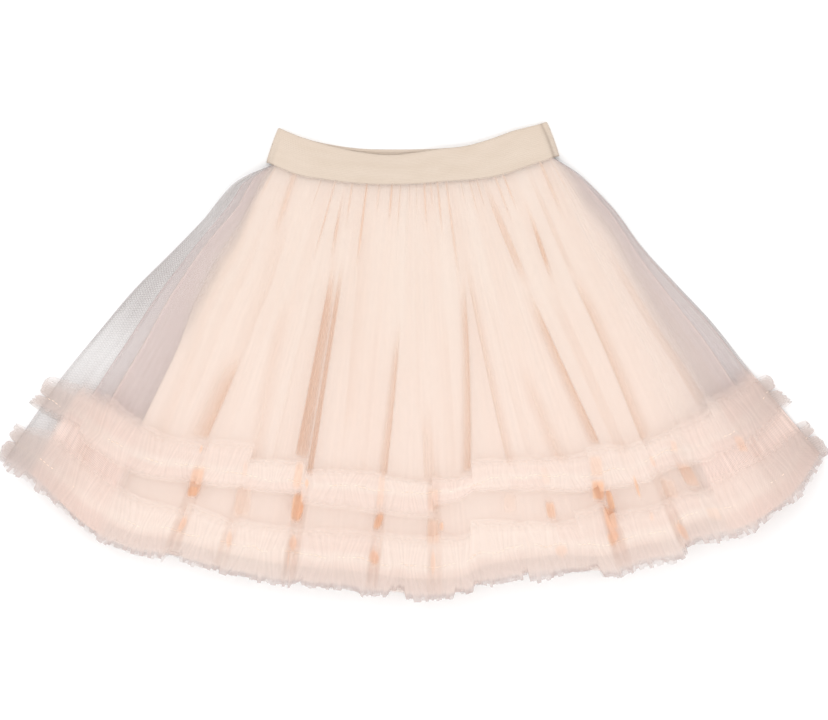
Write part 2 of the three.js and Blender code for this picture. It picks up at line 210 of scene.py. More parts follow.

# %% [markdown]
# ## The large folds
# Soft net falls in a few deep folds with wide flat stretches between. Each row is one fold:
# the angles where it starts and ends, its reach to the left and right in degrees, its depth as a share of the
# pile's, and the share of the length it starts and ends at. A fold that reaches little on one side has a
# steep wall there, as a fold has that has tipped over. The last column says how much more the net covers in
# the fold, and how much shade, in the lining's warm colour, is painted into it. One that ends past 1 runs out
# over the hem.

# %% Folds of the front, from left to right
FOLD_COLUMNS = ("top", "low", "left", "right", "depth", "start", "end", "fold_cover_and_shade")
FOLDS = [
    (-34.8, -34.8, 1.3, 1.2, 0.40, 0.55, 1.10, 0.05),
    (-29.4, -28.1, 1.6, 1.2, 0.45, 0.02, 0.80, 0.12),
    (-26.6, -27.4, 1.1, 0.6, 0.25, 0.12, 0.66, 0.07),
    (-23.7, -24.3, 2.2, 0.4, 0.80, 0.44, 0.69, 0.42),
    (-24.2, -23.7, 1.2, 0.6, 0.45, 0.10, 0.52, 0.14),
    (-23.5, -23.6, 0.9, 0.8, 0.85, 0.72, 1.10, 0.10),
    (-21.0, -18.4, 1.2, 1.5, 0.45, 0.28, 0.715, 0.16),
    (-18.9, -18.9, 0.8, 0.9, 0.60, 0.74, 1.10, 0.06),
    (-16.4, -16.0, 0.7, 1.2, 0.22, 0.15, 0.70, 0.06),
    (-14.4, -13.9, 0.45, 0.7, 0.70, 0.03, 0.21, 0.45),
    (-13.0, -13.2, 0.7, 0.8, 0.95, 0.20, 0.685, 0.44),
    (-12.5, -12.7, 1.0, 0.6, 0.85, 0.24, 0.69, 0.32),
    (-11.6, -11.8, 0.35, 0.4, 0.80, 0.20, 0.73, 0.44),
    (-12.2, -12.3, 0.9, 0.9, 1.00, 0.73, 1.10, 0.10),
    (-9.0, -8.0, 0.6, 1.5, 0.30, 0.05, 0.66, 0.10),
    (-6.1, -6.2, 1.1, 0.5, 0.18, 0.30, 0.80, 0.05),
    (-2.7, -3.7, 1.1, 0.35, 0.85, 0.34, 0.71, 0.40),
    (-3.7, -4.3, 0.8, 0.7, 0.85, 0.73, 1.10, 0.08),
    (2.3, 1.8, 0.9, 0.9, 0.55, 0.62, 1.10, 0.12),
    (1.6, 1.7, 0.8, 0.8, 0.30, 0.52, 0.715, 0.20),
    (1.0, 0.6, 0.6, 1.6, 0.16, 0.12, 0.62, 0.05),
    (4.8, 4.4, 1.2, 0.5, 0.20, 0.30, 0.70, 0.07),
    (9.0, 6.2, 1.3, 0.3, 0.85, 0.24, 0.715, 0.42),
    (10.0, 11.3, 0.5, 1.0, 0.55, 0.20, 0.72, 0.22),
    (12.9, 13.8, 0.5, 1.4, 0.18, 0.25, 0.70, 0.06),
    (15.6, 17.2, 1.3, 1.6, 0.40, 0.46, 0.72, 0.24),
    (14.6, 14.7, 0.6, 0.7, 0.55, 0.77, 0.92, 0.06),
    (18.9, 20.2, 0.5, 0.8, 0.60, 0.00, 0.30, 0.32),
    (20.1, 21.7, 1.2, 0.3, 0.90, 0.28, 0.69, 0.42),
    (20.5, 20.0, 0.9, 1.0, 1.00, 0.73, 1.10, 0.12),
    (24.3, 23.5, 0.3, 0.4, 0.75, 0.09, 0.30, 0.60),
    (22.9, 24.1, 0.8, 0.6, 0.35, 0.28, 0.80, 0.12),
    (26.5, 26.4, 0.4, 0.5, 0.50, 0.00, 0.34, 0.16),
    (26.4, 26.3, 0.4, 1.3, 0.75, 0.26, 0.715, 0.32),
    (26.0, 26.1, 0.7, 0.7, 0.80, 0.74, 1.10, 0.08),
    (28.7, 28.9, 0.6, 0.9, 0.65, 0.73, 0.90, 0.06),
    (32.3, 34.0, 0.9, 0.6, 0.45, 0.24, 0.68, 0.10),
    (35.4, 35.6, 0.7, 0.9, 0.60, 0.77, 0.88, 0.06),
    (36.0, 36.4, 0.9, 0.9, 0.25, 0.30, 1.10, 0.04),
]
# Past this reach a fold's painted shade fades to the side; in a narrower fold it is an even band
WIDE_FOLD = 0.95  # past this reach a fold's warmth fades to the side, and a narrower fold is an even line
# Short creases under the waistband, painted as shade only: the angle of each, its width, its length as a share, and its
# depth, which sets how dark
WAIST_CREASES = [
    (-29.0, 0.7, 0.10, 0.5), (-24.8, 0.8, 0.19, 0.5), (-21.6, 0.5, 0.09, 0.5), (-18.2, 0.7, 0.22, 0.7),
    (-11.9, 0.5, 0.12, 0.6), (-9.4, 0.55, 0.24, 0.9), (-7.4, 0.4, 0.08, 0.5), (-5.6, 0.45, 0.1, 0.9),
    (-4.3, 0.4, 0.12, 0.7), (-1.2, 0.5, 0.07, 0.4), (1.0, 0.4, 0.09, 0.5), (2.9, 0.45, 0.12, 0.8),
    (4.2, 0.4, 0.07, 0.6), (5.6, 0.6, 0.14, 0.8), (8.1, 0.8, 0.28, 0.6), (12.4, 0.5, 0.08, 0.5),
    (15.1, 0.45, 0.1, 0.6), (17.2, 0.5, 0.08, 0.7), (21.2, 0.5, 0.13, 0.6), (22.6, 0.4, 0.1, 0.8),
    (28.2, 0.5, 0.16, 0.6), (31.3, 0.5, 0.12, 0.5),
]
CREASE_SHADE = 0.62


def bell(across):
    """1 in the middle, and 0 at -1 and 1 and past them."""
    return np.where(np.abs(across) < 1, (1 + np.cos(np.pi * across)) / 2, 0)


def fold_shape(angle, v):
    """Depth of the large folds at each place, and how much more the net covers and how much shade is painted there,
    from the folds and the waist creases; both 0 between folds.
    """
    depth, fold_cover_and_shade = np.zeros(np.broadcast(angle, v).shape), np.zeros(np.broadcast(angle, v).shape)
    for row in FOLDS:
        f = dict(zip(FOLD_COLUMNS, row))
        down = np.clip((v - f["start"]) / (min(f["end"], 1) - f["start"]), 0, 1)
        across = angle - mix(f["top"], f["low"], down)
        reach = by_side(across, f["left"], f["right"])
        across = across / reach
        # A fold that runs under a ruffle is cut off by it, and any other fades out
        fade = 0.012 if 0.66 < f["end"] < 0.76 else 0.11
        runs = ease(v, f["start"] - 0.03, f["start"] + 0.12) * (1 - ease(v, f["end"] - fade, f["end"]))
        depth = np.maximum(depth, f["depth"] * bell(across) * runs)
        fading = np.clip(1 - np.abs(across), 0, 1) ** 1.25
        band = np.where(reach > WIDE_FOLD, fading, 1 - ease(np.abs(across), 0.7, 0.95)) * runs
        fold_cover_and_shade = np.maximum(fold_cover_and_shade, f["fold_cover_and_shade"] * band)
    # The waist creases have no depth of their own: they are only painted shade
    for at, width, length, deep in WAIST_CREASES:
        across = (angle - at) / (width * (0.55 + v))
        runs = ease(v, -0.02, 0.012) * (1 - ease(v, length * 0.45, length))
        fold_cover_and_shade = np.maximum(fold_cover_and_shade, CREASE_SHADE * deep * bell(across) * runs)
    return depth, fold_cover_and_shade


print(len(FOLDS), "folds and", len(WAIST_CREASES), "waist creases")


# %% [markdown]
# ## Openings at the ruffles
# Where a deep fold runs under a ruffle, the ruffle's blocks part a little and the fold shows orange between
# them, for the light that gets in there has passed warm cloth many times. That orange is painted shade, with
# the warm tint of that bounced light, and the net is made to cover more there. Such an opening is a lozenge
# where the thread pinches the strip, and an upright block between the two rows. They lie at no regular
# distance, so they are listed one by one, in millimetres from the middle of the skirt. Squareness is 1 for a
# lozenge, 2 for an oval and more for a block.

# %% Openings between the ruffles' blocks, from left to right
OPENING_COLUMNS = ("x", "y", "half_width", "half_height", "lean", "squareness", "gap_cover_and_shade")
OPENINGS = [
    (-198.7, -141, 3.5, 8, -0.45, 1.6, 0.50), (-187, -104, 6, 13.5, -0.2, 5, 0.60),
    (-190, -113, 5, 5, -0.2, 4, 0.85), (-182.6, -76.3, 1.6, 4, -0.2, 1.5, 0.60),
    (-158.7, -154, 3, 8, -0.1, 1.6, 0.40), (-147, -122, 8, 14, -0.1, 6, 0.30),
    (-145, -93.7, 2.2, 7.5, -0.1, 4, 0.22), (-108, -170, 0.8, 9, -0.05, 3, 0.28),
    (-104, -157, 4, 8.5, -0.05, 1.3, 0.50), (-100.6, -126.4, 5, 13.5, -0.1, 4, 0.85),
    (-98, -131, 2.5, 9, -0.35, 1.6, 1.00), (-99.3, -98.9, 4, 13, -0.15, 4, 0.50),
    (-92, -105.8, 2, 4.5, 0, 1.5, 0.65), (-34.4, -169.4, 5.2, 8, 0.1, 1.4, 0.55),
    (-30.5, -138.5, 4, 8, -0.3, 3, 0.75), (-28.4, -112.7, 3.2, 17, -0.1, 4, 0.30),
    (16.3, -173.7, 2.5, 12.5, 0, 1.5, 0.40), (16.3, -147, 6, 12, 0, 5, 0.36),
    (16.3, -120.4, 5, 11, 0, 6, 0.26), (23.8, -142.8, 2, 4.5, 0, 3, 0.65),
    (82.2, -123, 6.5, 9.5, 0, 6, 0.20), (112.7, -99.3, 4, 8.5, 0.2, 3, 0.18),
    (117.4, -129, 4.5, 8.5, 0.15, 5, 0.60), (126.4, -163.4, 6, 6, 0, 2, 0.32),
    (156.5, -91.2, 6, 10, 0.1, 5, 0.38), (158.2, -111.8, 6, 9.5, 0.05, 6, 0.85),
    (168.6, -120.4, 3, 10, 0.25, 3, 1.00), (168.6, -135.9, 5.5, 11, 0.2, 5, 0.72),
    (170.8, -151.8, 5.5, 9.5, 0, 1.5, 0.70), (191.4, -109.2, 1.8, 11, 0.3, 2, 0.70),
    (203.8, -134.2, 1.8, 5, 0, 2, 0.35), (204.7, -86.9, 2.2, 5.5, 0.4, 2, 0.32),
    (219, -110, 7, 9.5, 0.3, 6, 0.30), (223.2, -74, 2.8, 5.2, 0.2, 4, 0.32),
    (230.5, -147, 4, 8, 0.5, 2, 0.45), (235.6, -98.9, 7, 11, 0.5, 5, 0.42),
    (257.1, -131.6, 6.5, 5.5, 0.3, 5, 0.22), (280.4, -71.8, 4.5, 7.5, 0.4, 6, 0.32),
]


def gap_shade_at(x, y):
    """How strongly an opening's painted shade shows, and how much more the net covers, at each place, 0 outside them.
    """
    gap_cover_and_shade = np.zeros(x.shape)
    for row in OPENINGS:
        o = dict(zip(OPENING_COLUMNS, row))
        power, below = o["squareness"], o["y"] - y
        beside = np.abs((x - o["x"] - o["lean"] * below) / o["half_width"])
        size = (beside**power + np.abs(below / o["half_height"]) ** power) ** (1 / power)
        gap_cover_and_shade = np.maximum(gap_cover_and_shade, o["gap_cover_and_shade"] * (1 - ease(size, 0.6, 1.1)))
    return gap_cover_and_shade


print(len(OPENINGS), "openings, the tallest", 2 * max(row[3] for row in OPENINGS), "mm")


# %% [markdown]
# ## Small waves
# Between the folds the net still waves a little, and where it is gathered into the elastic it stands in close
# small gathers that die out downwards. A sum of a few sines with a fixed seed gives uneven waves that are the
# same on each run. The same waves, weaker, cross the hidden back.

# %% Uneven waves across the skirt
def uneven(angle, v, spacing, seed, drift=0.6):
    """A wave across the skirt, about -1 to 1, uneven in spacing and height, that wanders a little downwards."""
    rng = np.random.default_rng(seed)
    total = np.zeros(np.broadcast(angle, v).shape)
    for size in (0.62, 0.85, 1.0, 1.27, 1.7):
        lean, begin = rng.uniform(-drift, drift), rng.uniform(0, 2 * np.pi)
        swell = 0.6 + 0.4 * np.sin(angle / (spacing * 3.7 * size) + v * rng.uniform(2, 5) + rng.uniform(0, 6))
        total += swell * np.sin(2 * np.pi * (angle + lean * v * spacing) / (spacing * size) + begin)
    return total / 2.6


def waved(angle, v, waves):
    """A sum of uneven waves, each given as its height in millimetres, its spacing in degrees and its seed."""
    return sum(height * uneven(angle, v, spacing, seed) for height, spacing, seed in waves)


def small_waves(angle, v):
    """Height of the waves between the folds, and of the close gathers under the seam, in millimetres."""
    grown = np.clip(v, 0, 1) ** 0.8
    at_seam = ease(v, -0.01, 0.03) * (1 - ease(v, 0.07, 0.38))
    between_folds = grown * waved(angle, v, ((0.9, 5.2, 1), (0.25, 1.6, 2), (0.07, 0.62, 3)))
    return between_folds + at_seam * waved(angle, v, ((0.6, 1.35, 5), (0.2, 0.7, 6)))


def side_round(angle, left, right):
    """The pile's rounding at its sides: 0 at the side fold, and 1 from SIDE_ROUND degrees in."""
    edge = by_side(angle, left, right)
    inside = np.clip((edge - np.abs(angle)) / SIDE_ROUND, 0, 1)
    return np.sqrt(inside * (2 - inside))


def front_height(name, angle, v, dip=1.0):
    """Height of the middle of a layer's front sheet, in millimetres. dip is how far it sinks into the folds."""
    layer, index = LAYERS[name], list(LAYERS).index(name)
    count = mix(4, layers_at(angle), parted(v))
    rounded = side_round(angle, layer["left"], layer["right"])
    depth, _ = fold_shape(angle, v)
    rise = FOLD_HEIGHT * np.clip(v, 0, 1) ** 0.75 * (1 - dip * depth) * rounded
    ripple = small_waves(angle, v) * rounded * max(layer["follow"], 0.12)
    # The gathers puff up where they leave the seam
    puff = 2.1 * layer["follow"] * ease(v, -0.02, 0.004) * (1 - 0.75 * ease(v, 0.03, 0.3)) * rounded
    base = floor_lift(v) + pitch(v) * (2 * count - index - 1)
    return base + layer["follow"] * rise + ripple + puff + CLOTH / 2


def back_height(name, angle, v):
    """Height of the middle of a layer's back sheet. It lies pressed under the rest, with flat creases."""
    index = list(LAYERS).index(name)
    return floor_lift(v) + pitch(v) * index + CLOTH / 2 + 0.2 * uneven(angle, v, 2.1, 11 + index)


middle, places = np.zeros(1), (0, 0.3, 0.6, 0.9)
heights = [front_height("outer_tulle", middle, np.full(1, share)).item() for share in places]
print("outer net's height down the middle, mm:", np.round(heights, 1))


# %% [markdown]
# ## From a ring to a mesh
# Each layer is modelled as one closed strip of points per row: across the front, round the right side fold,
# back across the underside and round the left side fold. The rows are bridged with faces. Its UV map is the
# cloth as cut, in metres, so a pattern in it is squeezed where the cloth is gathered, as a real net's is.

# %% Mesh of a ring, with its UV map and its attributes
def ring_mesh(name, points, cut_width, cut_down, marks):
    """points[row][column] in millimetres, a closed ring of columns. The cloth as cut is cut_width round, in
    metres, and each row lies at its place in cut_down. marks are attributes of each point."""
    rows, columns = points.shape[:2]
    i, j = np.meshgrid(np.arange(rows - 1), np.arange(columns), indexing="ij")
    corners = ((i, j), (i + 1, j), (i + 1, j + 1), (i, j + 1))
    quads = np.stack([row * columns + column % columns for row, column in corners], -1)
    mesh = bpy.data.meshes.new(name)
    mesh.from_pydata((points.reshape(-1, 3) * MM).tolist(), [], quads.reshape(-1, 4).tolist())
    # The map runs on over the last face, which closes the ring
    u = np.append(np.linspace(0, cut_width, columns), cut_width * columns / (columns - 1))
    uv = np.stack([np.stack([u[column], cut_down.ravel()[row]], -1) for row, column in corners], 2)
    mesh.uv_layers.new(name="cloth").data.foreach_set("uv", uv.ravel().astype(np.float32))
    for mark, values in marks.items():
        attribute = mesh.attributes.new(mark, "FLOAT", "POINT")
        attribute.data.foreach_set("value", values.ravel().astype(np.float32))
    mesh.shade_smooth()
    area = sum(polygon.area for polygon in mesh.polygons)
    print(name, "has", len(mesh.polygons) * 2, "triangles and", round(area, 3), "square metres of cloth")
    return put(name, mesh)


# %% [markdown]
# ## The three net layers and the lining
# On the real skirt each layer is two flared panels, seamed at the sides and gathered at the top. A ring with
# more columns than rows keeps the folds, which run down the skirt, sharp. Each point carries marks that the
# finishes read: how deep in a fold it is, where the net covers more and warm shade is painted
# (fold_cover_and_shade), whether there is no lining under it, where the net's colour is painted greyer or paler
# as light and shade (unlined_shading), whether the net lies doubled there, as along a side fold (doubled), how
# much it is bunched together (bunched), whether it lies under a ruffle's end, where a pinker shade is painted
# (ruffle_end_shade), where the lining thins at its sides (thin), and where an opening between the ruffle's
# blocks shows, where the net covers more and orange shade is painted (gap_cover_and_shade).

# %% A layer as a flattened ring
CUT_WIDTH, CUT_LENGTH = 1.8, 0.36  # metres, round the hem and down
RUFFLES_FROM, RUFFLES_FULL = 0.67, 0.75  # the share of the length where the ruffles come to cover the net


def bare_of_lining(angle, v):
    """1 where no lining lies under the net, where the net's colour is painted as light and shade. Under the ruffles the
    pile is warmed by them too, and it fades.
    """
    edge = by_side(angle, LINING_LEFT, LINING_RIGHT)
    soft = by_side(angle, mix(2.6, 0.3, ease(v, 0.3, 0.5)), 4.0)
    far = by_side(angle, 38.0, 41.0)
    at_ruffles = ease(v, RUFFLES_FROM, RUFFLES_FULL)
    return ease(np.abs(angle), mix(edge - soft, far, at_ruffles), mix(edge + soft, far + 1.6, at_ruffles))


def under_ruffles(angle, v):
    """1 where the net lies gathered under the ruffles, past the lining's sides."""
    away, far = np.abs(angle), by_side(angle, 38.4, 41.2)
    return ease(v, RUFFLES_FROM, RUFFLES_FULL) * ease(away, 29.5, 31) * (1 - ease(away, far, far + 0.8))


def bunched(angle, v):
    """How much denser the net lies at the sides than laid smooth: gathered towards the waist, in close lines on
    the right, and in soft clouds on the left."""
    to_waist = 0.8 * (1 - np.clip(v / 0.7, 0, 1)) ** 1.5
    half_way = 0.55 * ease(v, 0.15, 0.35) * (1 - ease(v, 0.42, 0.6))
    at_left = (to_waist + half_way) * ease(-angle, 36.5, 38)
    by_lining = 0.4 * ease(angle, 27.5, 33) * (1 - ease(angle, 34, 36.5))
    lines = ease(angle, 37.0, 38.8) * (0.12 + 0.25 * uneven(angle, v, 0.42, 41))
    clouds = np.clip(0.25 + uneven(angle, v, 2.6, 42, drift=3), 0, 1)
    clouds = clouds * ease(-angle, 37.1, 37.5) * ease(41 + angle, 0.4, 2.4)
    return at_left + by_lining + lines + 0.35 * clouds + 1.7 * under_ruffles(angle, v)


def thin_sides(angle, v):
    """1 at the lining's side folds, where it is cut so narrow that it lies in single loose folds."""
    return np.maximum(ease(angle, 33.0, 35.0), ease(-angle, 29.0, 30.7) * (1 - ease(v, 0.3, 0.5)))


def rows_of(row_count, hem):
    """Rows down a layer: close under the seam and close again at the ruffles, where the openings are."""
    return np.interp(np.linspace(0, 1, row_count), [0, 0.06, 0.42, 1], [-0.014, 0.02, 0.68, hem])[:, None]


def layer_ring(name, front_columns, back_columns, row_count):
    layer = LAYERS[name]
    v = rows_of(row_count, layer["hem"])
    front = np.linspace(-layer["left"], layer["right"], front_columns)[None, :]
    back = np.linspace(layer["right"], -layer["left"], back_columns)[None, :]
    sheets = []
    for angle, z in ((front, front_height(name, front, v)), (back, back_height(name, back, v))):
        x, y = lies_at(angle + 0 * v, v + 0 * angle)
        sheets.append(np.stack([x, y, np.maximum(z, 0.2)], -1))
    over, under = sheets
    # A side fold: one column between the front's last and the back's first, a little further out
    right = (over[:, -1:] + under[:, :1]) / 2 + (over[:, -1:] - over[:, -2:-1]) * 0.5
    left = (under[:, -1:] + over[:, :1]) / 2 + (over[:, :1] - over[:, 1:2]) * 0.5
    points = np.concatenate([over, right, under, left], axis=1)
    angles = np.concatenate([front, front[:, -1:], back, back[:, -1:]], axis=1) + 0 * v
    is_front = np.arange(points.shape[1]) < front_columns
    edge = by_side(angles, layer["left"], layer["right"])
    from_edge = (edge - np.abs(angles)) * np.radians(1) * mix(190, 530, np.clip(v, 0, 1))
    marks = {
        "fold_cover_and_shade": fold_shape(angles, v)[1] * is_front,
        "unlined_shading": bare_of_lining(angles, v),
        "doubled": np.exp(-np.abs(from_edge) / 0.9),
        "bunched": bunched(angles, v),
        "ruffle_end_shade": under_ruffles(angles, v),
        "thin": thin_sides(angles, v),
        "gap_cover_and_shade": gap_shade_at(points[..., 0], points[..., 1]) * is_front,
    }
    return ring_mesh(name, points, CUT_WIDTH, v * CUT_LENGTH, marks)


outer_tulle = layer_ring("outer_tulle", 770, 150, 104)
second_tulle = layer_ring("second_tulle", 380, 130, 50)
third_tulle = layer_ring("third_tulle", 300, 110, 44)
lining = layer_ring("lining", 460, 150, 80)


# %% [markdown]
# ## The ruffles
# Each is a strip of net gathered by a thread along its middle, so both its edges stand free and flare. The
# thread pulls the net into close small pleats. Across a deep fold the strip dips in and is pinched, and on
# each side of it the free edges fan out over the fold, so every ruffle looks like a row of soft blocks. The
# cut edges are raw, and each pleat ends at its own length.

# %% Where the ruffles lie, and the steps of their free edges
# Shares of the skirt's length at the upper edge, the stitching and the lower edge, and a pleat's width in degrees
RUFFLES = {
    "upper_ruffle": {"middle": (0.697, 0.742, 0.788), "side": (0.745, 0.785, 0.83), "pleat": 0.36, "seed": 21},
    "lower_ruffle": {"middle": (0.848, 0.918, 1.0), "side": (0.89, 0.935, 1.0), "pleat": 0.33, "seed": 22},
}
# The free edges step up or down at each block: angle along the hem, and share of the length
UPPER_TOP = {
    "angle": [-41.4, -38.05, -38, -34, -30, -23.65, -23.6, -19, -18.95, -14, -12.35, -12.3, -4.1, -4, 1.95,
              2, 6.55, 6.6, 14.7, 20.15, 20.2, 26.05, 26.1, 28.9, 29, 34.2, 34.25, 38, 41.4],
    "share": [0.713, 0.708, 0.695, 0.676, 0.684, 0.698, 0.68, 0.668, 0.706, 0.692, 0.692, 0.708, 0.698, 0.705, 0.715,
              0.698, 0.722, 0.685, 0.703, 0.69, 0.682, 0.705, 0.72, 0.713, 0.704, 0.694, 0.668, 0.69, 0.728],
}
UPPER_LOW = {
    "angle": [-41.4, -36.5, -36.4, -30.5, -23.65, -23.6, -18.95, -18.9, -12.35, -12.3, -4.05, -4, 1.95, 2, 6.6,
              14.7, 20.15, 20.2, 24, 26.1, 28.9, 32.5, 35.6, 41.4],
    "share": [0.822, 0.8, 0.818, 0.816, 0.797, 0.803, 0.785, 0.79, 0.773, 0.795, 0.807, 0.8, 0.805, 0.775, 0.766,
              0.79, 0.787, 0.8, 0.805, 0.802, 0.812, 0.808, 0.82, 0.845],
}
LOWER_TOP = {
    "angle": [-41.4, -38, -30.5, -23.65, -23.6, -18.9, -18.85, -12.3, -4, 1.95, 2, 5.6, 5.65,
              10.8, 14.7, 17, 17.05, 19.9, 20.2, 25.2, 28.9, 30.5, 30.6, 35.6, 39, 41.4],
    "share": [0.875, 0.85, 0.85, 0.866, 0.845, 0.866, 0.858, 0.853, 0.844, 0.843, 0.84, 0.853, 0.825,
              0.853, 0.864, 0.855, 0.835, 0.818, 0.855, 0.856, 0.872, 0.87, 0.85, 0.85, 0.873, 0.9],
}
# How far the lowest edge stands out past the hem's even line, in millimetres, block by block
HEM_STEPS = {
    "angle": [-41.4, -40.2, -38.9, -37.3, -36.5, -33, -26, -24.2, -24.1, -22.6, -22.4, -12, -11.6, -10.8, -10.6, -6,
              -5.3, -3.8, -2.5, -2.2, -1.1, -0.95, 3.7, 3.85, 5.3, 5.5, 7.6, 8.2, 10.25, 10.35, 11.0, 11.1, 12.8,
              15.9, 17.6, 17.85, 19.2, 20.8, 25.9, 26.0, 27.4, 29.1, 32.4, 34, 34.8, 36.6, 41.4],
    "out": [3, 5, 0.5, 4, 1, -1.5, 0, 0.7, -3, -5.5, -1, 0.6, -2, -3.6, 0, -1.5,
            2, 0, -2, -7, -8, 0.7, 0, -5.4, -1, -6, 0, -0.5, 1, -5.2, -4.4, 4.4, 2.5,
            -2.8, -7.5, 1.4, 2.8, 0.5, 1.7, -5, 0.6, 3.6, 2.5, -1, -1.6, 1.8, 0],
}
BLOCK_EDGES = np.array([-41.4, -36.5, -30.5, -23.6, -18.9, -12.3, -4.0, 2.0, 6.6,
                        10.8, 14.7, 20.2, 24.0, 26.1, 28.9, 32.5, 35.6, 41.4])
LENGTH_MM = 356  # from the waist seam to the hem


def ruffle_share(ruffle, angle, turn):
    """Share of the skirt's length that a ruffle's row lies at. turn is -1 at its upper edge, 1 at its lower."""
    sag = np.clip(np.abs(angle) / SIDE, 0, 1) ** 2
    upper, stitch, lower = (mix(m, s, sag) for m, s in zip(ruffle["middle"], ruffle["side"]))
    return mix(stitch, np.where(turn < 0, upper, lower), np.abs(turn))


def per_pleat(rng, number, low, high):
    """A value of its own for each pleat."""
    values = rng.uniform(low, high, 4000)
    return values[(number.astype(int) + 2000) % 4000]


# %% [markdown]
# ### One ruffle
# Its rows run from the upper free edge over the stitching to the lower free edge, closer together at the edges.
# Free is 0 at the stitching and 1 at an edge. The front is modelled pleat by pleat, the back lies pressed flat
# under the skirt, and at each side the strip goes round the side fold and stands out as a small ear.

# %% Rows of a ruffle, and its front
HALF_TURNS = np.array([0.09, 0.18, 0.28, 0.4, 0.54, 0.68, 0.8, 0.9, 0.97, 1])
TURNS = np.concatenate([-HALF_TURNS[::-1], [0], HALF_TURNS])[:, None]
FREE = np.abs(TURNS)
# The ruffle's sides are painted with the greyer shade of net that has no lining under it
SIDE_BARE = 0.85  # how bare of lining a ruffle looks at the sides, against the layers' own mark
POINTS_PER_PLEAT, BACK_POINTS_PER_PLEAT = 6, 2.5


def ruffle_columns(ruffle, per_width):
    return np.linspace(-SIDE, SIDE, int(2 * SIDE / ruffle["pleat"] * per_width))[None, :]


def ruffle_bare(angle):
    return SIDE_BARE * ease(np.abs(angle), 32, 41.4)


def hem_fringe(name):
    """How grey the net is painted towards the hem's raw edge, as shade."""
    return 0.42 * ease(TURNS, -0.1, 1) + 0.58 * ease(TURNS, 0.8, 0.95) if name == "lower_ruffle" else 0 * TURNS


def free_edges(name, fine):
    """Shares of the length that the upper and the lower free edge lie at, block by block."""
    if name == "upper_ruffle":
        return straight(UPPER_TOP, "share", fine), straight(UPPER_LOW, "share", fine)
    return straight(LOWER_TOP, "share", fine), 1 + straight(HEM_STEPS, "out", fine) / LENGTH_MM


def ruffle_front(name, rng):
    """Points of the front, and the front's marks."""
    ruffle = RUFFLES[name]
    pleat, seed = ruffle["pleat"], ruffle["seed"]
    fine = ruffle_columns(ruffle, POINTS_PER_PLEAT)

    def across_front(spacing, seed_step):
        return uneven(fine, 0 * fine, spacing, seed + seed_step)

    # Pleats, uneven in width and in size, with smoother stretches between
    pleats_from_left = fine / pleat + 0.35 * across_front(3.1, 0)
    number, phase = np.floor(pleats_from_left), 2 * np.pi * pleats_from_left
    size = per_pleat(rng, number, 0.15, 1.0) * (0.3 + 0.7 * np.clip(0.5 + across_front(2.7, 5), 0, 1.3))
    # Blocks between the deep folds, pinched at the stitching and fanning out at the edges
    block = np.clip(np.searchsorted(BLOCK_EDGES, fine) - 1, 0, len(BLOCK_EDGES) - 2)
    width = BLOCK_EDGES[block + 1] - BLOCK_EDGES[block]
    across = (fine - BLOCK_EDGES[block]) / width  # 0 to 1 over a block
    arch = 1 - (2 * across - 1) ** 4
    fan_out = (0.07 * (1 - FREE) ** 1.5 - 0.04 * FREE**2) * width * np.sin(2 * np.pi * across)
    angle = fine + fan_out + 0.03 * pleat * size * FREE**0.8 * np.sin(2 * phase)
    # The free edges follow their tables, torn pleat by pleat, with the blocks' corners rounded but for the hem's
    at_hem = (TURNS > 0) & (name == "lower_ruffle")
    torn = per_pleat(rng, number, -1.7, 1.5) + per_pleat(rng, number // 3, -1.0, 0.8)
    torn = torn * np.where(at_hem, 1, mix(0.3, 1, ease(np.abs(fine), 30, 36)))
    corner = np.where(at_hem, 0, 1.5 * (1 - arch))
    top_edge, low_edge = free_edges(name, fine)
    edge = np.where(TURNS < 0, top_edge, low_edge) + np.sign(TURNS) * (torn - corner) * FREE**2 / LENGTH_MM
    wander = 2.2 * across_front(4.6, 7) * (1 - FREE) ** 2 / LENGTH_MM
    v = np.minimum(mix(ruffle_share(ruffle, angle, 0 * TURNS) + wander, edge, FREE), 1 + 7 / LENGTH_MM)
    x, y = lies_at(angle, v)
    on_net = front_height("outer_tulle", np.clip(angle, -SIDE, SIDE), np.minimum(v, 1), dip=1 - 0.75 * FREE)
    puff = 2.2 * FREE**1.3 * (0.55 + 0.45 * arch) * (1 + 0.25 * across_front(2.4, 3))
    pleats = 0.26 * size * FREE**0.7 * (0.5 + 0.5 * np.sin(phase))
    # The folds' painted shade shows faintly on the ruffle too
    _, fold_cover_and_shade = fold_shape(angle, np.clip(v, 0, 1))
    tone = per_pleat(rng, block * 2 + (TURNS > 0), 0, 1) * ease(FREE, 0.05, 0.3)
    # The last few millimetres are one sheet thick. At the hem each pleat's end is more or less see-through
    frayed = ease(per_pleat(rng, number, 0, 1), 0.35, 0.7) * mix(0.3, 1.0, ease(np.abs(fine), 12, 32))
    sheer = np.where(at_hem, frayed * ease(FREE, 0.74, 0.84), 0.85 * ease(FREE, 0.5, 1.0))
    marks = {"fold_cover_and_shade": 0.15 * fold_cover_and_shade, "unlined_shading": ruffle_bare(angle), "sheer": sheer, "tone": tone, "gap_cover_and_shade": gap_shade_at(x, y)}
    return np.stack([x, y, on_net + 0.7 + puff + pleats], -1), marks


